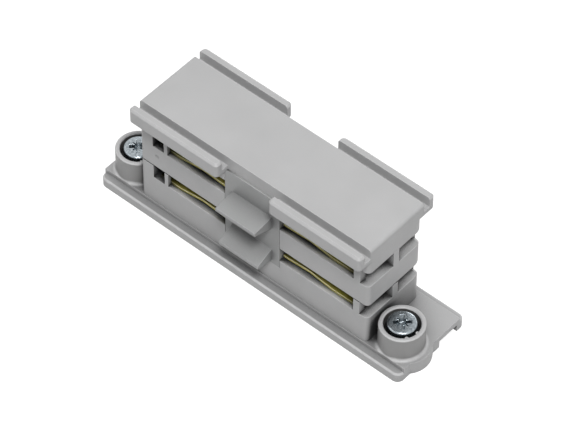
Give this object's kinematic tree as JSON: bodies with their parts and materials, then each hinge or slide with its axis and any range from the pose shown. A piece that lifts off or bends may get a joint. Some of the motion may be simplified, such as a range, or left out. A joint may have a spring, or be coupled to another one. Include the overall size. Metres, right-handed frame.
{
  "type": "lighting track connector",
  "caption": "Inline joiner for lighting track: slotted plastic body with brass contact strips, a grooved cover with side lips and a base plate with recessed clamp screws.",
  "frame": {"origin": "middle of the base plate's underside", "axes": "+X along the track, +Z from the base plate towards the track's open side, -Y on the side of the clamp screws"},
  "size_m": [0.0838, 0.0276, 0.0314],
  "materials": {
    "housing_plastic": "fine satin",
    "insert_plastic": "fine satin",
    "contact_brass": "rolled and lightly tarnished",
    "bar_brass": "rolled",
    "screw_zinc": "bright zinc plate",
    "collar_plastic": "black",
    "tie_steel": "zinc plate"
  },
  "bodies": {
    "housing": {"base_housing": "housing_plastic", "middle_housing": "housing_plastic", "top_cover": "housing_plastic", "side_insert_near": "insert_plastic", "contact_strip_lower_near": "contact_brass", "contact_strip_upper_near": "contact_brass", "side_insert_far": "insert_plastic", "contact_strip_lower_far": "contact_brass", "contact_strip_upper_far": "contact_brass", "earth_bar": "bar_brass", "tie_screws": "tie_steel"},
    "collar_left": {"screw_collar_left": "collar_plastic"},
    "screw_left": {"clamp_screw_left": "screw_zinc"},
    "collar_right": {"screw_collar_right": "collar_plastic"},
    "screw_right": {"clamp_screw_right": "screw_zinc"}
  },
  "joints": [
    {"name": "left_screw_travel", "type": "slide", "parent": "housing", "child": "collar_left", "axis": [0, 0, -1], "range_m": [0, 0.00097]},
    {"name": "left_screw_turn", "type": "hinge", "parent": "collar_left", "child": "screw_left", "pos_m": [-0.036, -0.0038, 0.0085], "axis": [0, 0, -1], "range_deg": [0, 700]},
    {"name": "right_screw_travel", "type": "slide", "parent": "housing", "child": "collar_right", "axis": [0, 0, -1], "range_m": [0, 0.00097]},
    {"name": "right_screw_turn", "type": "hinge", "parent": "collar_right", "child": "screw_right", "pos_m": [0.036, -0.0038, 0.0085], "axis": [0, 0, -1], "range_deg": [0, 700]}
  ],
  "couplings": [
    {"joint": "left_screw_turn", "follows": "left_screw_travel", "rad_per_m": 12566},
    {"joint": "right_screw_turn", "follows": "right_screw_travel", "rad_per_m": 12566}
  ]
}
